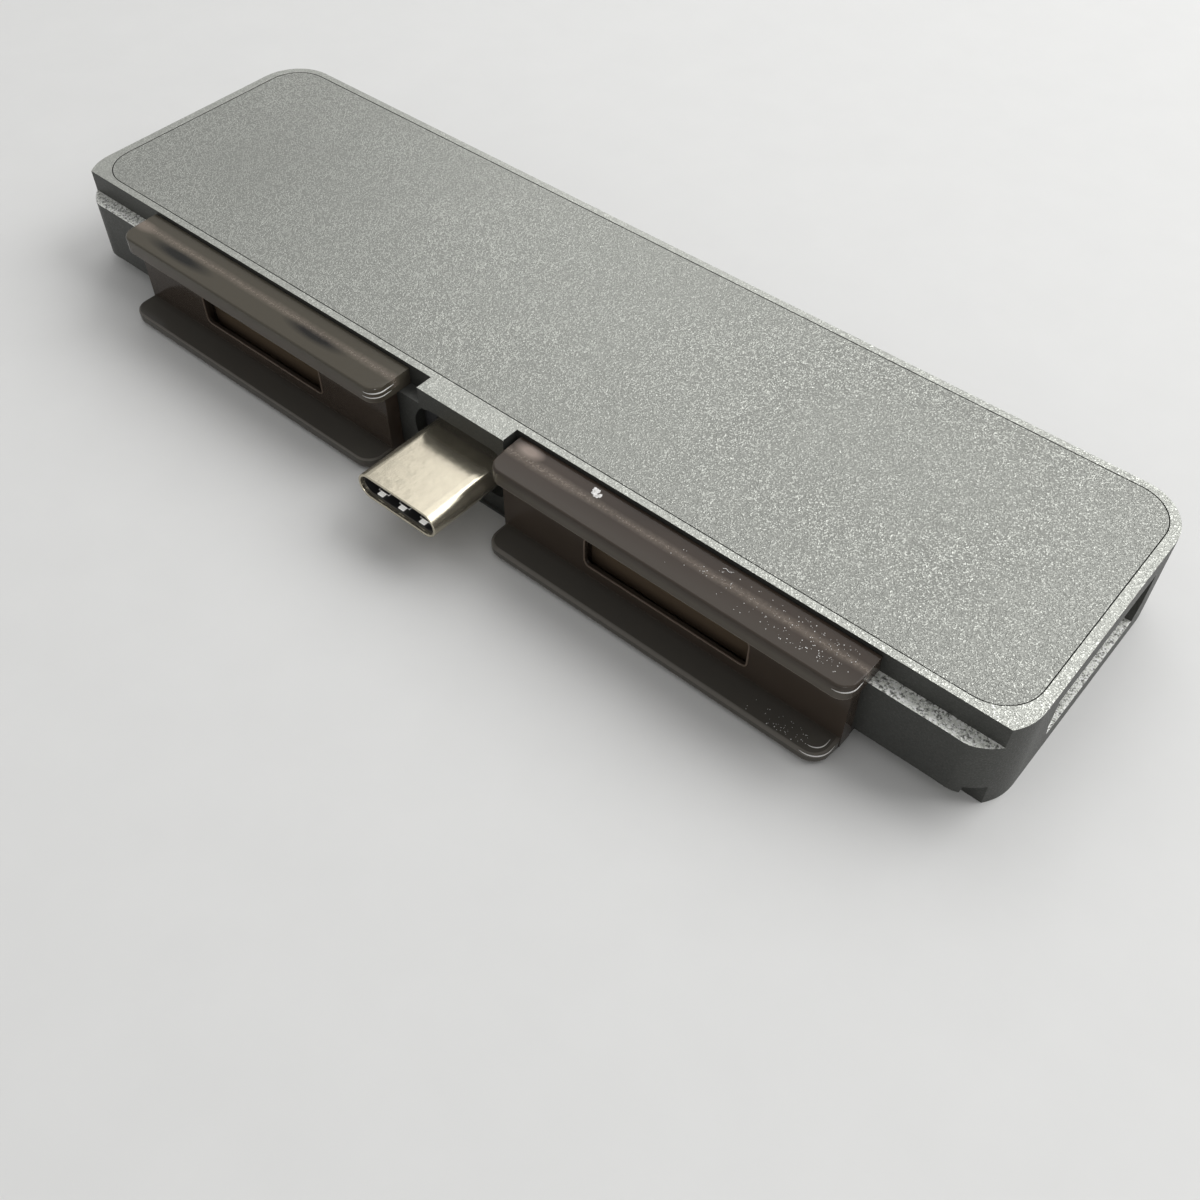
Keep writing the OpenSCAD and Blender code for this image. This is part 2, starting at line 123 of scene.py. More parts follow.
class HubViewSettings(bpy.types.PropertyGroup):
    lens: FloatProperty(
        name="Lens", description="Focal length of the camera on a 36 mm sensor",
        default=39.33, min=20, max=120, unit="CAMERA",
    )
    azimuth: FloatProperty(
        name="Azimuth", description="Turn of the view from straight at the plug's side",
        default=math.radians(39.8), subtype="ANGLE",
    )
    elevation: FloatProperty(
        name="Elevation", description="Height of the view above the horizon",
        default=math.radians(50.38), subtype="ANGLE",
    )
    roll: FloatProperty(
        name="Roll", description="Turn of the camera about its own line of sight",
        default=math.radians(0.575), subtype="ANGLE",
    )
    place: FloatVectorProperty(
        name="Place", description="Where the camera stands",
        default=(56.86 * MM, -63.74 * MM, 76.31 * MM), subtype="TRANSLATION", precision=5,
    )
    floor_colour: FloatVectorProperty(
        name="Floor", description="Colour of the floor",
        default=(0.72, 0.72, 0.71), subtype="COLOR", min=0, max=1,
    )
    backdrop: FloatVectorProperty(
        name="Backdrop", description="Colour that the floor melts into far away",
        default=(0.64, 0.64, 0.635), subtype="COLOR", min=0, max=1,
    )
    softbox: FloatProperty(
        name="Softbox", description="Power that the lamps over the hub take their shares of",
        default=0.9, min=0, unit="POWER",
    )
    sky: FloatProperty(
        name="Sky", description="Strength of the even light from all round",
        default=0.46, min=0, max=2,
    )


class HubMetalSettings(bpy.types.PropertyGroup):
    colour: FloatVectorProperty(
        name="Metal", description="Colour of the blasted grey metal",
        default=(0.305, 0.311, 0.288), subtype="COLOR", min=0, max=1,
    )
    grain: FloatProperty(
        name="Grain", description="Size of one grain of the blasted skin",
        default=0.21 * MM, min=0.05 * MM, max=1 * MM, unit="LENGTH", precision=5,
    )
    edge: FloatProperty(
        name="Edge", description="Width of the small round on the metal's edges",
        default=0.06 * MM, min=0, max=0.3 * MM, unit="LENGTH", precision=5,
    )
    nickel: FloatVectorProperty(
        name="Nickel", description="Colour of the plug's shell",
        default=(0.51, 0.467, 0.37), subtype="COLOR", min=0, max=1,
    )


class HubClipSettings(bpy.types.PropertyGroup):
    smoke: FloatVectorProperty(
        name="Smoke", description="Tint of the smoky clips",
        default=(0.056, 0.041, 0.031), subtype="COLOR", min=0, max=1,
    )
    # The streak is a painted highlight along the lips' rounded tops
    streak: FloatProperty(
        name="Streak", description="Where the worn streak runs along both lips",
        default=-13.75 * MM, unit="LENGTH", precision=5,
    )
    edge: FloatProperty(
        name="Edge", description="Radius of the clips' moulded edges",
        default=0.28 * MM, min=0, max=0.6 * MM, unit="LENGTH", precision=5,
    )
    crown: FloatProperty(
        name="Crown", description="Radius of the round along the top of each lip",
        default=0.75 * MM, min=0, max=1 * MM, unit="LENGTH", precision=5,
    )
    rounds: IntProperty(
        name="Rounds", description="Facets across each moulded edge",
        default=4, min=1, max=8,
    )
    dust: IntProperty(
        name="Dust", description="Specks of dust lying on the right clip's lip",
        default=170, min=0, max=400,
    )


# Shader expressions

class Val:
    """One socket of a node tree, with arithmetic that adds Math nodes."""

    def __init__(self, tree, socket):
        self.tree = tree
        self.socket = socket

    def _math(self, operation, *inputs):
        return self.tree.node("ShaderNodeMath", {"operation": operation}, dict(enumerate(inputs)))

    def __abs__(self):
        return self._math("ABSOLUTE", self)

    def __add__(self, other):
        return self._math("ADD", self, other)

    def __sub__(self, other):
        return self._math("SUBTRACT", self, other)

    def __rsub__(self, other):
        return self._math("SUBTRACT", other, self)

    def __mul__(self, other):
        return self._math("MULTIPLY", self, other)

    def __gt__(self, other):
        return self._math("GREATER_THAN", self, other)

    def __lt__(self, other):
        return self._math("LESS_THAN", self, other)

    def __or__(self, other):
        return self._math("MAXIMUM", self, other)

    __radd__ = __add__
    __rmul__ = __mul__
    __ror__ = __or__


class Tree:
    """The nodes of a material or of the world."""

    def __init__(self, owner):
        owner.use_nodes = True
        self.nodes = owner.node_tree.nodes
        self.links = owner.node_tree.links

    def node(self, kind, settings=None, inputs=None, out=0):
        """Adds a node and gives one of its outputs."""
        made = self.nodes.new(kind)
        for key, value in (settings or {}).items():
            setattr(made, key, value)
        for key, value in (inputs or {}).items():
            self.feed(made.inputs[key], value)
        return Val(self, made.outputs[out])

    def feed(self, socket, value):
        if isinstance(value, Val):
            self.links.new(value.socket, socket)
        elif socket.type == "RGBA" and len(value) == 3:
            socket.default_value = (*value, 1)
        else:
            socket.default_value = value

    def mix_surface(self, first, second, share):
        """Shows the first shader, a node, giving way by a share to the second, a value."""
        mixed = self.node(
            "ShaderNodeMixShader", {}, {0: share, 1: Val(self, first.outputs[0]), 2: second}
        )
        end = next(n for n in self.nodes if n.type.startswith("OUTPUT"))
        self.feed(end.inputs["Surface"], mixed)


class Skin(Tree):
    """A procedural material, built up from nodes."""

    def __init__(self, name):
        self.material = bpy.data.materials.new(name)
        super().__init__(self.material)
        self.shader = self.nodes["Principled BSDF"]

    def set(self, **values):
        for key, value in values.items():
            self.feed(self.shader.inputs[key.replace("_", " ").title().replace("Ior", "IOR")], value)
        return self.material

    def where(self):
        return self.node("ShaderNodeTexCoord", out="Object")

    def axis(self, name):
        """How far a place lies along X, Y or Z."""
        return self.node("ShaderNodeSeparateXYZ", {}, {0: self.where()}, name)

    def vector(self, operation, *inputs, out="Vector"):
        return self.node(
            "ShaderNodeVectorMath", {"operation": operation}, dict(enumerate(inputs)), out
        )

    def noise(self, size, detail=2.0, rough=0.5, stretch=None):
        place = self.where()
        if stretch:
            place = self.vector("MULTIPLY", place, stretch)
        return self.node(
            "ShaderNodeTexNoise", {},
            {"Vector": place, "Scale": 1 / size, "Detail": detail, "Roughness": rough},
        )

    def cells(self, size):
        return self.node(
            "ShaderNodeTexVoronoi", {}, {"Vector": self.where(), "Scale": 1 / size}, "Distance"
        )

    def spread(self, value, low_in, high_in, low_out=0.0, high_out=1.0):
        return self.node(
            "ShaderNodeMapRange", {"clamp": True},
            {"Value": value, "From Min": low_in, "From Max": high_in,
             "To Min": low_out, "To Max": high_out},
        )

    def vary(self, noise, low_out=0.0, high_out=1.0):
        """Stretches the usual values of a noise between two numbers."""
        return self.spread(noise, 0.3, 0.7, low_out, high_out)

    def spot(self, centre, reach):
        """1 at a point, soft towards its edge, 0 past the reach along each axis."""
        apart = self.vector("SUBTRACT", self.where(), centre)
        far = self.vector("LENGTH", self.vector("DIVIDE", apart, reach), out="Value")
        return self.spread(far, 0.35, 1.0, 1.0, 0.0)

    def blend(self, a, b, share):
        return self.node("ShaderNodeMix", {"data_type": "RGBA"}, {0: share, 6: a, 7: b}, 2)

    def bump(self, height, depth, strength):
        return self.node(
            "ShaderNodeBump", {}, {"Height": height, "Distance": depth, "Strength": strength}
        )


def shade(colour, factor):
    return tuple(min(1.0, c * factor) for c in colour)


# Finishes

def blasted_metal(metal, name, tone, rough, relief, sparkle, clean=0.8):
    """Bead-blasted and anodised: crossing ridges and pits, with painted glints on some grains."""
    skin = Skin(name)
    grain = skin.noise(metal.grain * 1.5, 1.0, 0.6)
    fleck = skin.noise(metal.grain * 0.6, 1.0)
    cloud = skin.noise(14 * MM)
    ridge = skin.spread(abs(grain - 0.5), 0.0, 0.075, 1.0, 0.0)
    base = shade(metal.colour, tone)
    # Painted light: the grain's contrast and painted glints, and its relief too, grow towards the right
    # end
    grain_lit = skin.spread(skin.axis("X"), GRAIN_DIM_X, GRAIN_LIT_X, 0.42, 1.0)
    lined = skin.blend(shade(base, 1 - 0.3 * relief), shade(base, 1 + 0.5 * relief), ridge)
    colour = skin.blend(shade(base, 1 + 0.06 * relief), lined, grain_lit)
    # Painted glints: some flecks lightened to twice the metal's colour and more
    glint = skin.spread(fleck, 0.58, 0.70)
    colour = skin.blend(colour, shade(base, 2.2), glint * sparkle * grain_lit)
    colour = skin.blend(colour, shade(base, 0.92), skin.spread(cloud, 0.35, 0.65, 0.0, 0.5))
    return skin.set(
        base_color=colour,
        metallic=clean,
        roughness=skin.vary(fleck, rough + 0.06, rough - 0.06),
        normal=skin.bump((ridge * 0.6 + fleck * 0.4) * grain_lit, 0.035 * MM * relief, 1.0),
    )


def milled_ledge(metal):
    """Cut face of the front steps, brighter and speckled by the blasting, with painted shade between the
    clips.
    """
    skin = Skin("milled_ledge")
    speck = skin.noise(metal.grain * 1.5, 2.0, 0.8)
    fleck = skin.noise(metal.grain * 0.7, 1.0)
    base = shade(metal.colour, 2.2)
    colour = skin.blend(shade(base, 0.22), shade(base, 1.2), skin.spread(speck, 0.38, 0.55))
    colour = skin.blend(colour, (0.95, 0.95, 0.93), skin.spread(fleck, 0.49, 0.62))
    # Painted shade: the ledge darkened between the clips, next to the tab
    along = skin.axis("X")
    overlap = 1 * MM
    between = (along > high("left_clip").x - overlap) * (along < low("right_clip").x + overlap)
    colour = skin.blend(colour, shade(metal.colour, 0.3), between)
    return skin.set(
        base_color=colour, metallic=0.25, roughness=skin.spread(speck, 0.35, 0.65, 0.30, 0.44),
        normal=skin.bump(speck, 0.03 * MM, 0.9),
    )


def smoky_clear(clip, name="smoky_clear", tone=1.0, rough=0.0):
    """Tinted soft plastic that light passes through: brown at the back and, as painted light, greyer at
    the front, with a painted highlight streak along each lip and more painted light and shade in places."""
    skin = Skin(name)
    bottom, top = (corner.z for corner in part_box("left_clip"))
    lip_front = low("left_clip").y + LIP_BACK
    ripple = skin.noise(2.6 * MM, stretch=(0.3, 1, 1))
    haze = skin.noise(0.22 * MM, 3.0, 0.7)
    patch = skin.noise(5 * MM, stretch=(0.5, 1, 1))
    along = skin.axis("X")
    across = skin.axis("Y")
    height = skin.axis("Z")

    # Painted highlight: a lighter streak along the top of each lip
    off = abs(across - clip.streak) + ripple * (0.4 * MM)
    streak = skin.spread(off, 0.15 * MM, 0.75 * MM, 1.0, 0.0) * (height > top - LIP_EDGE)
    front = skin.spread(across, clip.streak - 0.4 * MM, clip.streak - 1.6 * MM)
    shelf = (height < bottom + SHELF_THICK + 0.1 * MM) * front
    lip = height > top - LIP_DEPTH
    nose = skin.spread(across, lip_front + 0.3 * MM, lip_front + 1.2 * MM, 1.0, 0.0) * lip
    nose = nose * skin.spread(height, top - 0.2 * MM, top - 0.8 * MM)
    hollow = (across > low("housing").y - 0.25 * MM) * (height < top - 1.7 * MM)
    hollow = hollow * (abs(abs(along) - middle("right_clip").x) < 7.6 * MM)

    smoke = shade(clip.smoke, tone)
    colour = skin.blend(smoke, shade(smoke, 1.4), skin.spread(patch, 0.35, 0.7))
    # Painted light: greyer towards the front of each clip
    colour = skin.blend(colour, shade((0.078, 0.063, 0.050), tone), front)
    # Painted light: the left lip lighter and more olive than the right
    colour = skin.blend(colour, shade((0.108, 0.096, 0.074), tone), (along < 0.0) * lip)
    # Painted reflections and highlights on the lips, two dark and two bright
    for x, y, reach, tint in LIP_REFLECTIONS:
        spot = skin.spot((x * MM, y * MM, top), (reach * MM, SPOT_Y, SPOT_Z))
        colour = skin.blend(colour, shade(tint, tone), spot * 0.95)
    colour = skin.blend(colour, shade((0.115, 0.106, 0.092), tone), shelf)
    # Painted light: warm light passing through the clip, painted on its inner band behind each slot
    colour = skin.blend(colour, (0.13, 0.095, 0.064), hollow)
    # Painted reflection: lighter on the lower front face of each lip
    colour = skin.blend(colour, shade((0.12, 0.104, 0.084), tone), nose)
    # Painted highlight streak, mottled by the haze
    sheen = streak * (skin.vary(haze) * 0.6 + 0.3)
    colour = skin.blend(colour, shade((0.30, 0.25, 0.205), tone), sheen)
    return skin.set(
        base_color=colour,
        roughness=skin.spread(haze, 0.35, 0.75, 0.10 + rough, 0.24 + rough) + streak * 0.12,
        transmission_weight=0.28,
        ior=1.32,
        specular_ior_level=0.3,
        normal=skin.bump(ripple * 0.8 + haze * 0.2, 0.03 * MM, 0.5),
    )


def nickel(metal, name, rough=0.20, colour=None):
    """Plated sheet with drawing marks along it and soft smudges."""
    skin = Skin(name)
    drawn = skin.noise(0.10 * MM, stretch=(1, 0.08, 1))
    dent = skin.noise(0.8 * MM)
    smudge = skin.noise(1.4 * MM, 3.0, 0.6)
    base = colour or metal.nickel
    return skin.set(
        base_color=skin.blend(shade(base, 0.93), shade(base, 1.05), skin.spread(smudge, 0.35, 0.68)),
        metallic=0.82,
        roughness=skin.spread(smudge, 0.35, 0.7, rough - 0.03, rough + 0.03),
        normal=skin.bump(drawn * 0.12 + dent * 0.88, 0.017 * MM, 0.6),
    )


def moulding(name, colour, rough, size=0.2 * MM):
    """Plain moulded plastic with a spark-eroded skin."""
    skin = Skin(name)
    pits = skin.noise(size)
    wear = skin.noise(3 * MM, 3.0, 0.6)
    return skin.set(
        base_color=skin.blend(shade(colour, 0.8), shade(colour, 1.3), skin.vary(wear)),
        roughness=skin.vary(pits, rough - 0.08, rough + 0.08),
        normal=skin.bump(pits, 0.02 * MM, 0.5),
    )


def gold_plate():
    skin = Skin("gold_plate")
    wipe = skin.noise(0.12 * MM, stretch=(1, 0.1, 1))
    return skin.set(
        base_color=skin.blend((0.82, 0.55, 0.20), (0.95, 0.72, 0.36), skin.vary(wipe)),
        metallic=1.0,
        roughness=skin.vary(wipe, 0.18, 0.32),
        normal=skin.bump(wipe, 0.005 * MM, 0.5),
    )


def painted_spring_glint():
    """Near-white spring metal that glows a little: a painted glint that shows in the dark of the plug's
    mouth.
    """
    skin = Skin("painted_spring_glint")
    rub = skin.noise(0.12 * MM)
    return skin.set(
        base_color=skin.blend((0.80, 0.79, 0.76), (0.97, 0.96, 0.93), rub),
        roughness=skin.vary(rub, 0.2, 0.35),
        emission_color=skin.blend((0.75, 0.74, 0.70), (0.95, 0.94, 0.90), rub),
        emission_strength=0.4,
    )


def light_lens():
    skin = Skin("light_lens")
    frost = skin.noise(0.3 * MM)
    return skin.set(
        base_color=skin.blend((0.72, 0.76, 0.78), (0.9, 0.93, 0.95), frost),
        roughness=skin.vary(frost, 0.12, 0.28),
        transmission_weight=0.5,
    )


def lacquered_board():
    """Dark green lacquer over copper tracks, with small round vias."""
    skin = Skin("lacquered_board")
    track = skin.node(
        "ShaderNodeTexBrick", {"offset": 0.37, "squash": 1.0},
        {"Vector": skin.where(), "Scale": 420.0, "Mortar Size": 0.012, "Mortar Smooth": 0.3,
         "Color1": (0, 0, 0), "Color2": (0, 0, 0), "Mortar": (1, 1, 1)},
    )
    via = skin.cells(1.6 * MM) < 0.13
    glass = skin.noise(0.25 * MM)
    colour = skin.blend((0.006, 0.035, 0.018), (0.012, 0.075, 0.036), skin.vary(glass))
    colour = skin.blend(colour, (0.03, 0.16, 0.07), track)
    colour = skin.blend(colour, (0.55, 0.42, 0.22), via)
    return skin.set(
        base_color=colour, roughness=skin.vary(glass, 0.26, 0.4),
        normal=skin.bump(glass, 0.01 * MM, 0.5),
    )


def soft_pad(name, colour):
    skin = Skin(name)
    pore = skin.cells(0.3 * MM)
    return skin.set(
        base_color=skin.blend(shade(colour, 0.75), colour, skin.spread(pore, 0.0, 0.5)),
        roughness=0.8,
        normal=skin.bump(pore, 0.06 * MM, 0.7),
    )


def ferrite():
    skin = Skin("ferrite")
    grit = skin.noise(0.15 * MM, 3.0, 0.7)
    return skin.set(
        base_color=skin.blend((0.035, 0.035, 0.037), (0.10, 0.10, 0.105), skin.spread(grit, 0.35, 0.65)),
        roughness=0.62,
        normal=skin.bump(grit, 0.03 * MM, 0.7),
    )


def copper_wire():
    skin = Skin("copper_wire")
    wave = skin.node(
        "ShaderNodeTexWave", {"bands_direction": "Z"},
        {"Vector": skin.where(), "Scale": 2200.0, "Distortion": 0.4}, 1,
    )
    return skin.set(
        base_color=skin.blend((0.42, 0.16, 0.06), (0.80, 0.38, 0.17), wave),
        metallic=0.8, roughness=0.33, normal=skin.bump(wave, 0.05 * MM, 0.8),
    )


def lint():
    skin = Skin("pale_lint")
    tuft = skin.noise(0.2 * MM)
    return skin.set(
        base_color=skin.blend((0.55, 0.54, 0.52), (0.92, 0.91, 0.89), skin.vary(tuft)),
        roughness=0.85, normal=skin.bump(tuft, 0.03 * MM, 0.8),
    )


def pale_floor(view):
    """Matte floor that melts into the backdrop's plain colour far away."""
    skin = Skin("pale_floor")
    mottle = skin.noise(6 * MM, 3.0, 0.6)
    pale = view.floor_colour
    skin.set(base_color=skin.blend(shade(pale, 0.97), shade(pale, 1.02), mottle), roughness=0.62)
    far = skin.vector("LENGTH", skin.where(), out="Value")
    haze = skin.node("ShaderNodeEmission", {}, {"Color": view.backdrop, "Strength": 1.0})
    skin.mix_surface(skin.shader, haze, skin.spread(far, 0.2, 0.42))
    return skin.material


def pale_world(view):
    """Even light from all round. The camera, gloss and clear parts see the backdrop instead."""
    world = bpy.data.worlds.new("hub_world")
    tree = Tree(world)
    sky = tree.nodes["Background"]
    tree.feed(sky.inputs["Color"], (1, 1, 1))
    tree.feed(sky.inputs["Strength"], view.sky)
    backdrop = tree.node("ShaderNodeBackground", {}, {"Color": view.backdrop})
    camera, glossy, clear = (
        tree.node("ShaderNodeLightPath", out=ray)
        for ray in ("Is Camera Ray", "Is Glossy Ray", "Is Transmission Ray")
    )
    tree.mix_surface(sky, backdrop, camera | glossy | clear)
    return world


# Mesh helpers

def finish_mesh(mesh, name, materials, replaced=()):
    """Makes an object from a bmesh, shades it, and hangs it on the hub."""
    data = bpy.data.meshes.new(name)
    bmesh.ops.recalc_face_normals(mesh, faces=mesh.faces)
    mesh.normal_update()
    for edge in mesh.edges:
        edge.smooth = len(edge.link_faces) == 2 and edge.calc_face_angle(0) < SMOOTH_ANGLE
    for face in mesh.faces:
        face.smooth = True
    mesh.to_mesh(data)
    mesh.free()
    for material in materials:
        data.materials.append(material)
    piece = bpy.data.objects.new(name, data)
    bpy.context.scene.collection.objects.link(piece)
    piece.modifiers.new("even_shading", "WEIGHTED_NORMAL").keep_sharp = True
    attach(piece, "root")
    if replaced:
        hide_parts(*replaced)


def clean_copy(node):
    """A bmesh of a node with its triangles joined back into flat faces."""
    mesh = bmesh.new()
    mesh.from_mesh(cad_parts[node].data)
    bmesh.ops.remove_doubles(mesh, verts=mesh.verts, dist=WELD)
    bmesh.ops.dissolve_limit(
        mesh, angle_limit=FLAT_ANGLE, verts=mesh.verts, edges=mesh.edges,
    )
    return mesh


def bevel(mesh, edges, width, segments):
    result = bmesh.ops.bevel(
        mesh, geom=edges, offset=width, offset_type="OFFSET", segments=segments,
        profile=0.5, affect="EDGES", clamp_overlap=True, loop_slide=True,
    )
    return result["faces"]


def round_edges(mesh, width, segments=2, keep=None):
    """Bevels the sharp edges, or only those that keep allows, and gives the new faces."""
    edges = [
        e for e in mesh.edges
        if len(e.link_faces) == 2
        and e.calc_face_angle(0) > EDGE_ANGLE
        and (keep is None or keep(e))
    ]
    return bevel(mesh, edges, width, segments)


def dress(node, name, material, width, segments=2):
    """A node's own shape with its edges rounded."""
    mesh = clean_copy(node)
    round_edges(mesh, width, segments)
    finish_mesh(mesh, name, [material], (node,))


def edge_middle(edge):
    return (edge.verts[0].co + edge.verts[1].co) / 2


def islands(node):
    """Lowest and highest corner of each separate solid in a node."""
    mesh = clean_copy(node)
    left = set(mesh.verts)
    boxes = []
    while left:
        stack = [left.pop()]
        found = []
        while stack:
            vert = stack.pop()
            found.append(vert.co.copy())
            for edge in vert.link_edges:
                other = edge.other_vert(vert)
                if other in left:
                    left.remove(other)
                    stack.append(other)
        lo = Vector(min(c[i] for c in found) for i in range(3))
        hi = Vector(max(c[i] for c in found) for i in range(3))
        boxes.append((lo, hi))
    mesh.free()
    return sorted(boxes, key=lambda b: tuple(round(v, 6) for v in b[0]))


def add_box(mesh, lo, hi, material=0, width=0.0):
    """A box between two corners, with its edges rounded where a width is given."""
    size = Vector(hi) - Vector(lo)
    place = Matrix.Translation((Vector(lo) + Vector(hi)) / 2) @ Matrix.Diagonal((*size, 1))
    made = bmesh.ops.create_cube(mesh, size=1, matrix=place)
    for face in {f for v in made["verts"] for f in v.link_faces}:
        face.material_index = material
    if width:
        bevel(mesh, list({e for v in made["verts"] for e in v.link_edges}), width, 2)


def add_ring(mesh, centre, across, up, sides):
    """Points round a centre, on an oval with these two half axes."""
    turns = [2 * math.pi * i / sides for i in range(sides)]
    return [mesh.verts.new(centre + across * math.cos(a) + up * math.sin(a)) for a in turns]


def join_rings(mesh, rings, material=0, closed=False):
    """Faces from each ring to the next, closed into a loop or else capped at both ends."""
    following = rings[1:] + rings[:1] if closed else rings[1:]
    for a, b in zip(rings, following):
        for i in range(len(a)):
            j = (i + 1) % len(a)
            mesh.faces.new((a[i], a[j], b[j], b[i])).material_index = material
    if not closed:
        mesh.faces.new(rings[0][::-1]).material_index = material
        mesh.faces.new(rings[-1]).material_index = material


def add_lathe(mesh, centre, profile, sides=40, material=0):
    """Turns a list of (radius, height) about an upright axis."""
    rings = [
        add_ring(mesh, centre + Vector((0, 0, z)), Vector((r, 0, 0)), Vector((0, r, 0)), sides)
        for r, z in profile
    ]
    join_rings(mesh, rings, material)


def on_axis(lo, hi, z):
    """The point of a box's upright middle line at one height."""
    return Vector(((lo.x + hi.x) / 2, (lo.y + hi.y) / 2, z))


# Operators, one for each piece or group of like pieces

class HUB_OT_camera(bpy.types.Operator):
    """Stand the camera where the hub is seen from over its plug's side"""

    bl_idname = "hub.camera"
    bl_label = "Camera"

    def execute(self, context):
        view = context.scene.hub_view
        data = bpy.data.cameras.new("hub_camera")
        data.lens = view.lens
        data.sensor_width = SENSOR_WIDTH
        data.clip_start = 1 * MM
        camera = bpy.data.objects.new("hub_camera", data)
        turn = (
            Matrix.Rotation(view.azimuth, 4, "Z")
            @ Matrix.Rotation(math.pi / 2 - view.elevation, 4, "X")
            @ Matrix.Rotation(view.roll, 4, "Z")
        )
        camera.matrix_world = Matrix.Translation(view.place) @ turn
        context.scene.collection.objects.link(camera)
        context.scene.camera = camera
        return {"FINISHED"}


class HUB_OT_stage(bpy.types.Operator):
    """Lay a pale floor and hang soft lamps over the hub"""

    bl_idname = "hub.stage"
    bl_label = "Stage"

    def execute(self, context):
        view = context.scene.hub_view
        context.scene.view_settings.view_transform = "Standard"
        context.scene.world = pale_world(view)
        self.floor(context, pale_floor(view))
        for lamp in LAMPS:
            self.lamp(context, view.softbox, *lamp)
        return {"FINISHED"}

    def floor(self, context, material):
        half_side = 3.0
        mesh = bmesh.new()
        bmesh.ops.create_grid(mesh, x_segments=1, y_segments=1, size=half_side)
        data = bpy.data.meshes.new("floor")
        mesh.to_mesh(data)
        mesh.free()
        data.materials.append(material)
        floor = bpy.data.objects.new("floor", data)
        context.scene.collection.objects.link(floor)

    def lamp(self, context, power, name, share, size, place, on_matte):
        """An area lamp that faces the middle of the hub's bottom."""
        data = bpy.data.lights.new(name, "AREA")
        data.energy = power * share
        data.shape = "RECTANGLE"
        data.size, data.size_y = size
        lamp = bpy.data.objects.new(name, data)
        turn = (-Vector(place)).to_track_quat("-Z", "Y").to_matrix().to_4x4()
        lamp.matrix_world = Matrix.Translation(place) @ turn
        lamp.visible_diffuse = on_matte
        context.scene.collection.objects.link(lamp)


class HUB_OT_case(bpy.types.Operator):
    """Dress the housing and its inset top panel in blasted metal"""

    bl_idname = "hub.case"
    bl_label = "Housing and panel"

    def execute(self, context):
        metal = context.scene.hub_metal
        finishes = [
            blasted_metal(metal, "blasted_housing", 1.28, 0.38, 1.0, 1.0),
            # A much darker copy of the housing's metal for walls and recesses: painted shade
            blasted_metal(metal, "painted_shade_walls", 0.225, 0.5, 0.25, 0.2, 0.7),
            milled_ledge(metal),
        ]
        mesh = clean_copy("housing")
        self.fade_rails(mesh)
        round_edges(mesh, metal.edge)
        self.share_out(mesh)
        finish_mesh(mesh, "housing_case", finishes, ("housing",))
        lid = blasted_metal(metal, "blasted_panel", 1.02, 0.40, 1.6, 0.9)
        dress("top_panel", "inset_panel", lid, 0.03 * MM)
        foam = soft_pad("foam_tape", (0.03, 0.03, 0.03))
        dress("panel_tape", "panel_adhesive", foam, 0.02 * MM, 1)
        return {"FINISHED"}

    def fade_rails(self, mesh):
        """Runs the front rail's ends out into the round corners, with no step left."""
        step = 0.29 * MM
        start = high("housing").x - 4.2 * MM
        length = 1.9 * MM
        front = low("housing").y
        rail_low, rail_high = 1.2 * MM, 6.8 * MM
        for vert in mesh.verts:
            t = (abs(vert.co.x) - start) / length
            on_arc = front + 0.2 * MM < vert.co.y < front + 0.8 * MM
            meets = t > 0.98 and vert.co.y < front + 0.5 * MM
            if 0 < t < 1.02 and on_arc and not meets and rail_low < vert.co.z < rail_high:
                vert.co.y -= step * t * t * (3 - 2 * t)
        bmesh.ops.remove_doubles(mesh, verts=mesh.verts, dist=0.02 * MM)

    def share_out(self, mesh):
        """Gives each face of the housing its outer, shaded or ledge finish; the shaded one is painted
        shade.
        """
        outer, shaded_wall, ledge = range(3)
        top_z = high("housing").z - 0.5 * MM
        step_y = low("top_panel").y - 0.2 * MM
        tab_x = low("plug_shell").x - 2 * MM
        end_x = high("top_panel").x - 1.5 * MM
        sill_z = middle("video_shell").z
        mesh.normal_update()
        for face in mesh.faces:
            place = face.calc_center_median()
            at_step = place.y < step_y and not tab_x < place.x < 0
            # Painted light: level faces at the right end, below the video socket's middle, get the
            # bright ledge finish
            lit_end_floor = place.x > end_x and place.z < sill_z
            # Upright walls, and level faces in recesses or beside the tab, get the darkened metal as
            # painted shade
            if abs(face.normal.z) < LEVEL:
                face.material_index = shaded_wall
            elif face.normal.z < 0 or place.z > top_z:
                face.material_index = outer
            else:
                face.material_index = ledge if at_step or lit_end_floor else shaded_wall


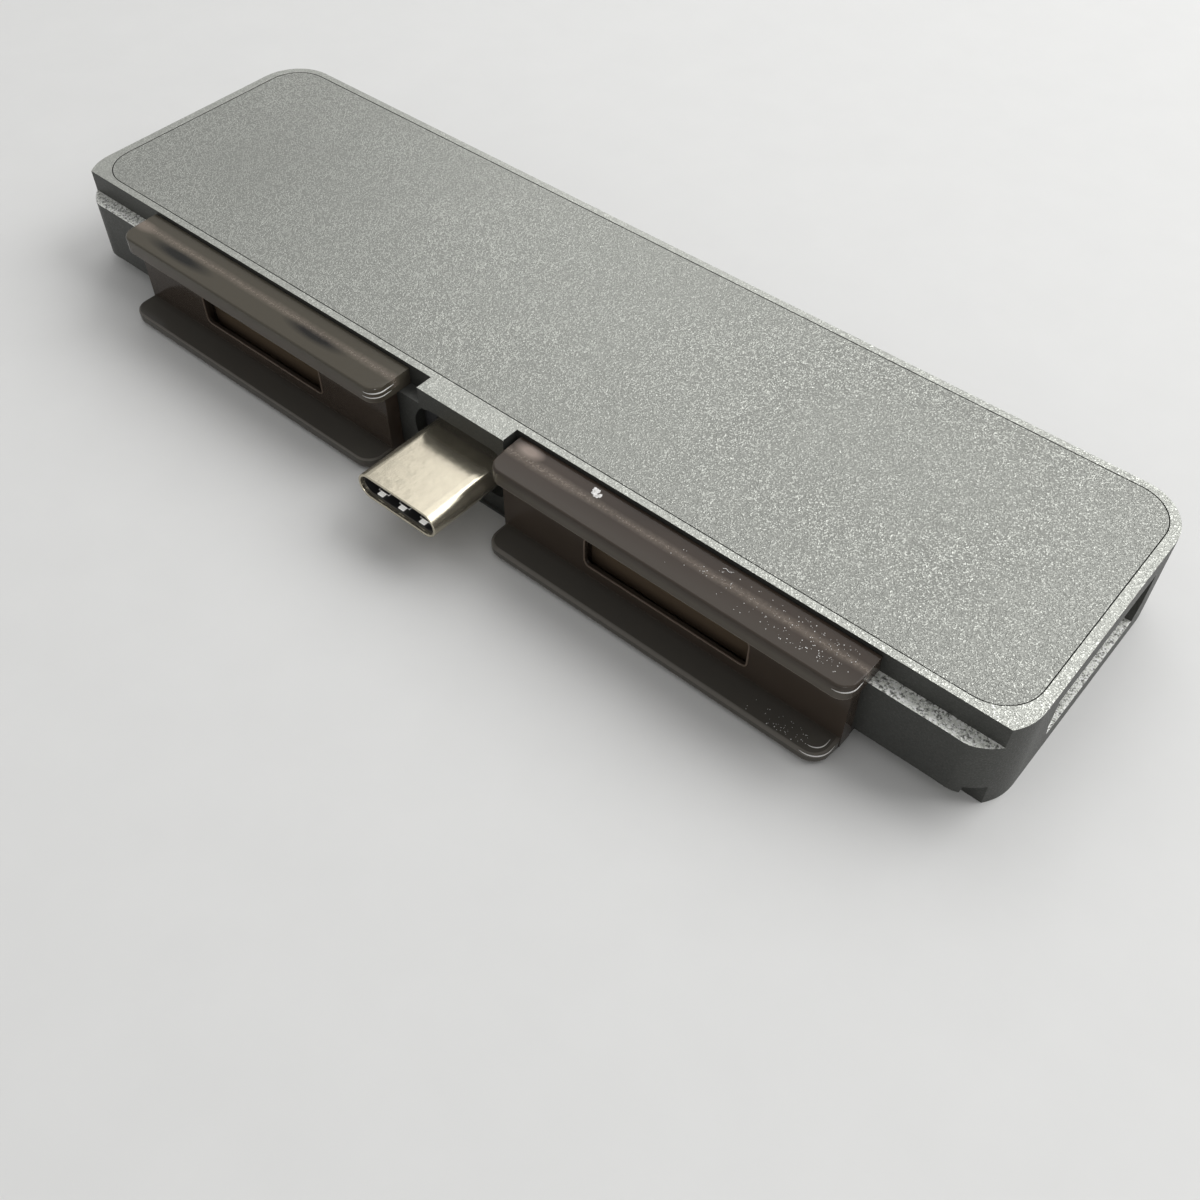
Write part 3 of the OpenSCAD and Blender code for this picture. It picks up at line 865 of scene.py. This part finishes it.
class HUB_OT_clips(bpy.types.Operator):
    """Mould the two smoky clips and scatter the dust that lies on them"""

    bl_idname = "hub.clips"
    bl_label = "Soft clips"

    def execute(self, context):
        clip = context.scene.hub_clip
        # The second skin is the plastic lightened for the rounded edges: a painted highlight
        skins = [smoky_clear(clip), smoky_clear(clip, "smoky_edge_highlight", 1.6, -0.04)]
        web_y = low("left_clip").y + WEB_BACK
        for side in ("left", "right"):
            self.mould(clip, side, web_y, skins)
        self.slot_rim_highlights(web_y, smoky_clear(clip, "smoky_rim_highlight", 3.0, -0.04))
        # Painted glints along the clips' front corners
        self.glint_lines(moulding("painted_glint", (0.86, 0.84, 0.80), 0.16))
        self.dust(clip)
        return {"FINISHED"}

    def mould(self, clip, side, web_y, skins):
        """One clip, with a wide round along its lip's top and small ones on its other edges."""
        node = side + "_clip"
        top = high(node).z

        def crown(edge):
            mid = edge_middle(edge)
            level = abs(edge.verts[0].co.z - edge.verts[1].co.z) < WELD
            return level and mid.z > top - WELD and mid.y < web_y + 1.0 * MM

        def outer(edge):
            mid = edge_middle(edge)
            return edge.is_convex and mid.z < top - LIP_EDGE and mid.y < web_y - WELD

        mesh = clean_copy(node)
        mesh.normal_update()
        round_edges(mesh, clip.crown, clip.rounds + 3, crown)
        mesh.normal_update()
        rounded = round_edges(mesh, clip.edge, clip.rounds, outer)
        mesh.normal_update()
        # The small rounds take the lighter second skin: a painted highlight on the edges
        for face in rounded:
            face.material_index = 1
        finish_mesh(mesh, side + "_soft_clip", skins, (node,))

    def slot_rim_highlights(self, web_y, skin):
        """A thin bead round the slot in each web, in a much lighter plastic: a painted highlight."""
        bead = 0.075 * MM
        half_l, z_low, z_high, corner_r = 7.5 * MM, 2.3 * MM, 5.2 * MM, 0.5 * MM
        corners = (
            (half_l, z_low, -90), (half_l, z_high, 0),
            (-half_l, z_high, 90), (-half_l, z_low, 180),
        )
        mesh = bmesh.new()
        for node in ("left_clip", "right_clip"):
            rings = []
            for x, z, start in corners:
                hub_x = middle(node).x + x - math.copysign(corner_r, x)
                hub_z = z + (corner_r if z == z_low else -corner_r)
                for turn in range(0, 91, 15):
                    a = math.radians(start + turn)
                    out = Vector((math.cos(a), 0, math.sin(a)))
                    centre = Vector((hub_x, web_y, hub_z)) + out * corner_r
                    rings.append(add_ring(mesh, centre, out * bead, Vector((0, bead, 0)), 8))
            join_rings(mesh, rings, closed=True)
        finish_mesh(mesh, "slot_rim_highlights", [skin])

    def glint_lines(self, skin):
        """Thin lines of painted glint round the clips' front corners, tapered to nothing at both ends.
        """
        mesh = bmesh.new()
        for node, front, side, depth, turn, before, after in GLINT_LINES:
            lo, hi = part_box(node)
            corner = Vector((hi.x - side * MM, lo.y + front * MM, hi.z - depth * MM))
            self.glint_line(mesh, corner, turn * MM, before * MM, after * MM)
        finish_mesh(mesh, "corner_glints", [skin])

    def glint_line(self, mesh, corner, turn, before, after):
        """One line: along the front, round the right corner and back along the end."""
        steps = 18
        thickest = 0.065 * MM
        arc = turn * math.pi / 2
        hub = corner + Vector((-turn, turn, 0))
        rings = []
        for i in range(steps + 1):
            at = (before + arc + after) * i / steps - before
            a = min(max(at, 0), arc) / turn
            out = Vector((math.sin(a), -math.cos(a), 0))
            centre = hub + out * turn + Vector((min(at, 0), max(at - arc, 0), 0))
            thick = thickest * math.sin(math.pi * (i + 0.4) / (steps + 0.8)) ** 0.7
            rings.append(add_ring(mesh, centre, out * thick * 0.6, Vector((0, 0, thick)), 6))
        join_rings(mesh, rings)

    def dust(self, clip):
        """Specks on the right clip, thickest at its outer end, with one flake and one hair."""
        draw = random.Random(7)
        lo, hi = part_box("right_clip")
        length = hi.x - lo.x
        lip_y, lip_depth = lo.y + LIP_BACK + 0.75 * MM, 2.6 * MM
        flake = Vector((14.2 * MM, -12.95 * MM, hi.z))
        hair = Vector((25.8 * MM, -12.8 * MM, hi.z + 0.03 * MM))
        flake_specks, hair_specks = 12, 14
        mesh = bmesh.new()
        for _ in range(clip.dust):
            along = max(0.97 - abs(draw.gauss(0, 0.21)), 0.2 + 0.3 * draw.random())
            y = lip_y + draw.random() * lip_depth
            size = draw.uniform(0.018, 0.05) * MM
            self.speck(mesh, draw, Vector((lo.x + length * along, y, hi.z)), size)
        for _ in range(clip.dust // 4):
            x = lo.x + length * (0.94 - abs(draw.gauss(0, 0.08)))
            y = lo.y + draw.uniform(0.35, 1.7) * MM
            size = draw.uniform(0.02, 0.05) * MM
            self.speck(mesh, draw, Vector((x, y, lo.z + SHELF_THICK)), size)
        for _ in range(flake_specks):
            place = flake + Vector((draw.uniform(-0.46, 0.46), draw.uniform(-0.3, 0.3), 0)) * MM
            self.speck(mesh, draw, place, draw.uniform(0.12, 0.22) * MM, 0.3)
        for i in range(hair_specks):
            t = i / (hair_specks - 1)
            bend = math.sin(t * 2.4 * math.pi) * 0.07
            place = hair + Vector((t * 0.75 - 0.35, bend + t * 0.1, 0)) * MM
            self.speck(mesh, draw, place, 0.035 * MM, 1.0)
        finish_mesh(mesh, "clip_dust", [lint()])

    def speck(self, mesh, draw, centre, size, squash=0.6):
        """A rough grain, flattened to a share of its height."""
        made = bmesh.ops.create_icosphere(mesh, subdivisions=1, radius=size)
        for vert in made["verts"]:
            flat = Vector((vert.co.x, vert.co.y, vert.co.z * squash))
            vert.co = centre + flat * draw.uniform(0.7, 1.3)


class HUB_OT_plug(bpy.types.Operator):
    """Build the plug: nickel shell, dark liner, contacts, springs and boot"""

    bl_idname = "hub.plug"
    bl_label = "Plug"

    def execute(self, context):
        shell = nickel(context.scene.hub_metal, "plug_nickel")
        black = moulding("black_liner", (0.018, 0.018, 0.019), 0.42)
        collar = moulding("collar_black", (0.014, 0.014, 0.016), 0.55)
        dress("plug_shell", "nickel_shell", shell, 0.07 * MM, 3)
        dress("plug_insulator", "mouth_liner", black, 0.05 * MM)
        dress("plug_contacts", "mouth_contacts", gold_plate(), 0.03 * MM)
        # Spring tips get a painted glint, and their leaves the black liner as painted shade
        self.springs(painted_spring_glint(), black)
        dress("plug_boot", "plug_collar", collar, 0.12 * MM, 3)
        return {"FINISHED"}

    def springs(self, bright, dark):
        """Grounding springs: a small tip with a painted glint in front of a leaf painted as dark as the
        liner, for shade.
        """
        tip = 0.40 * MM
        edge = 0.02 * MM
        mesh = bmesh.new()
        for lo, hi in islands("plug_springs"):
            inset = (hi.x - lo.x) * 0.24
            bottom = lo.z + (hi.z - lo.z) * 0.45
            tip_end = (hi.x - inset, lo.y + tip, hi.z)
            add_box(mesh, (lo.x + inset, lo.y, bottom), tip_end, 0, edge)
            add_box(mesh, (lo.x, lo.y + tip, bottom), hi, 1, edge)
        finish_mesh(mesh, "mouth_springs", [bright, dark], ("plug_springs",))


class HUB_OT_sockets(bpy.types.Operator):
    """Finish the sockets at the ends and along the back"""

    bl_idname = "hub.sockets"
    bl_label = "Sockets"

    def execute(self, context):
        plate = nickel(context.scene.hub_metal, "socket_nickel", 0.30, (0.66, 0.66, 0.64))
        black = moulding("socket_black", (0.016, 0.016, 0.017), 0.45)
        white = moulding("socket_white", (0.62, 0.62, 0.60), 0.40)
        gold = bpy.data.materials.get("gold_plate") or gold_plate()
        for name in ("video", "data", "power", "card"):
            dress(name + "_shell", name + "_socket_shell", plate, 0.05 * MM)
        dress("video_insulator", "video_tongue", black, 0.10 * MM)
        dress("data_insulator", "data_tongue", white, 0.10 * MM)
        dress("power_tongue", "power_socket_tongue", black, 0.08 * MM)
        dress("audio_socket", "headphone_socket", black, 0.08 * MM)
        for name in ("video_contacts", "data_contacts", "audio_spring", "card_contacts"):
            dress(name, name + "_plated", gold, 0.02 * MM)
        dress("status_light", "status_lens", light_lens(), 0.12 * MM, 3)
        return {"FINISHED"}


class HUB_OT_electronics(bpy.types.Operator):
    """Fill the inside: board, chips, coils, capacitors, pad and screws"""

    bl_idname = "hub.electronics"
    bl_label = "Board and parts"

    def execute(self, context):
        epoxy = moulding("chip_epoxy", (0.022, 0.022, 0.024), 0.55, 0.12 * MM)
        tin = nickel(context.scene.hub_metal, "tinned_metal", 0.32, (0.74, 0.74, 0.72))
        pad = soft_pad("pad_blue", (0.30, 0.42, 0.55))
        dress("main_board", "circuit_board", lacquered_board(), 0.04 * MM, 1)
        for name in ("hub_chip", "video_chip", "power_chip", "audio_chip"):
            self.chip(name, epoxy, tin)
        dress("crystal", "crystal_can", tin, 0.25 * MM, 3)
        dress("heat_pad", "heat_pad_soft", pad, 0.2 * MM, 3)
        self.capacitors(tin)
        self.coils()
        self.screws(tin)
        return {"FINISHED"}

    def chip(self, node, epoxy, tin):
        """A moulded block on a row of tinned feet along each side."""
        inset, gap = 0.12 * MM, 0.05 * MM
        pitch, spare = 0.5 * MM, 0.8 * MM
        half_foot, foot_reach, foot_height = 0.12 * MM, 0.18 * MM, 0.2 * MM
        lo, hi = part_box(node)
        mesh = bmesh.new()
        add_box(mesh, (lo.x + inset, lo.y + inset, lo.z + gap),
                (hi.x - inset, hi.y - inset, hi.z), 0, 0.08 * MM)
        for axis in (0, 1):
            other = 1 - axis
            count = int((hi[axis] - lo[axis] - spare) / pitch)
            for i in range(count):
                mid = (lo[axis] + hi[axis]) / 2 + (i - (count - 1) / 2) * pitch
                for edge in (lo[other], hi[other] - foot_reach):
                    a = [0.0, 0.0, lo.z]
                    b = [0.0, 0.0, lo.z + foot_height]
                    a[axis], b[axis] = mid - half_foot, mid + half_foot
                    a[other], b[other] = edge, edge + foot_reach
                    add_box(mesh, a, b, 1)
        finish_mesh(mesh, node + "_package", [epoxy, tin], (node,))

    def capacitors(self, tin):
        """Clay blocks with a tinned cap at each end."""
        clay = moulding("capacitor_clay", (0.34, 0.22, 0.12), 0.35, 0.1 * MM)
        cap, inset, edge = 0.32 * MM, 0.02 * MM, 0.05 * MM
        mesh = bmesh.new()
        for lo, hi in islands("capacitors"):
            add_box(mesh, (lo.x + inset, lo.y + cap, lo.z), (hi.x - inset, hi.y - cap, hi.z))
            add_box(mesh, lo, (hi.x, lo.y + cap, hi.z), 1, edge)
            add_box(mesh, (lo.x, hi.y - cap, lo.z), hi, 1, edge)
        finish_mesh(mesh, "ceramic_capacitors", [clay, tin], ("capacitors",))

    def coils(self):
        """Ferrite drums with a flange at each end and turns of wire between them."""
        turns = 5
        mesh = bmesh.new()
        for lo, hi in islands("coils"):
            r, h = (hi.x - lo.x) / 2, hi.z - lo.z
            centre = on_axis(lo, hi, lo.z)
            rim = 0.25 * h
            add_lathe(mesh, centre, [(r * 0.94, 0), (r, 0.06 * h), (r, rim), (r * 0.6, rim)])
            add_lathe(mesh, centre, [
                (r * 0.6, h - rim), (r, h - rim), (r, h * 0.94), (r * 0.93, h)])
            pitch = (h - 2 * rim) / turns
            winding = []
            for i in range(turns):
                z = rim + pitch * (i + 0.5)
                side = 0.45 * pitch
                winding += [(r * 0.84, z - side), (r * 0.91, z), (r * 0.84, z + side)]
            add_lathe(mesh, centre, winding, material=1)
        finish_mesh(mesh, "wound_coils", [ferrite(), copper_wire()], ("coils",))

    def screws(self, tin):
        """Pan-head screws with a threaded shank."""
        head, pitch, point = 0.7 * MM, 0.4 * MM, 0.1 * MM
        mesh = bmesh.new()
        for lo, hi in islands("board_screws"):
            centre = on_axis(lo, hi, 0)
            r = (hi.x - lo.x) / 2
            shank = r * 0.46
            seat = hi.z - head
            add_lathe(mesh, centre, [
                (r, seat), (r, hi.z - 0.35 * MM), (r * 0.92, hi.z - 0.12 * MM),
                (r * 0.7, hi.z), (r * 0.42, hi.z - 0.06 * MM), (r * 0.42, hi.z - 0.4 * MM),
            ])
            thread = [(shank * 0.55, lo.z)]
            z = lo.z + point
            while z + pitch < seat:
                thread += [(shank * 0.8, z), (shank, z + pitch / 2)]
                z += pitch
            add_lathe(mesh, centre, thread + [(shank, seat)], 24)
        finish_mesh(mesh, "pan_screws", [tin], ("board_screws",))


class HUB_PT_panel(bpy.types.Panel):
    """The hub's pieces and settings in the sidebar"""

    bl_idname = "HUB_PT_panel"
    bl_label = "Tablet Hub"
    bl_space_type = "VIEW_3D"
    bl_region_type = "UI"
    bl_category = "Tablet Hub"

    def draw(self, context):
        for name in STEPS:
            self.layout.operator("hub." + name)
        for name in SETTINGS:
            group = getattr(context.scene, name)
            box = self.layout.box()
            for key in group.__annotations__:
                box.prop(group, key)


STEPS = ("camera", "stage", "case", "clips", "plug", "sockets", "electronics")
SETTINGS = {
    "hub_view": HubViewSettings,
    "hub_metal": HubMetalSettings,
    "hub_clip": HubClipSettings,
}
CLASSES = (
    *SETTINGS.values(),
    HUB_OT_camera, HUB_OT_stage, HUB_OT_case, HUB_OT_clips, HUB_OT_plug, HUB_OT_sockets,
    HUB_OT_electronics, HUB_PT_panel,
)


def register():
    for cls in CLASSES:
        bpy.utils.register_class(cls)
    for name, group in SETTINGS.items():
        setattr(bpy.types.Scene, name, PointerProperty(type=group))


def unregister():
    for name in SETTINGS:
        delattr(bpy.types.Scene, name)
    for cls in reversed(CLASSES):
        bpy.utils.unregister_class(cls)


def main():
    register()
    for name in STEPS:
        getattr(bpy.ops.hub, name)()


if __name__ == "__main__":
    main()
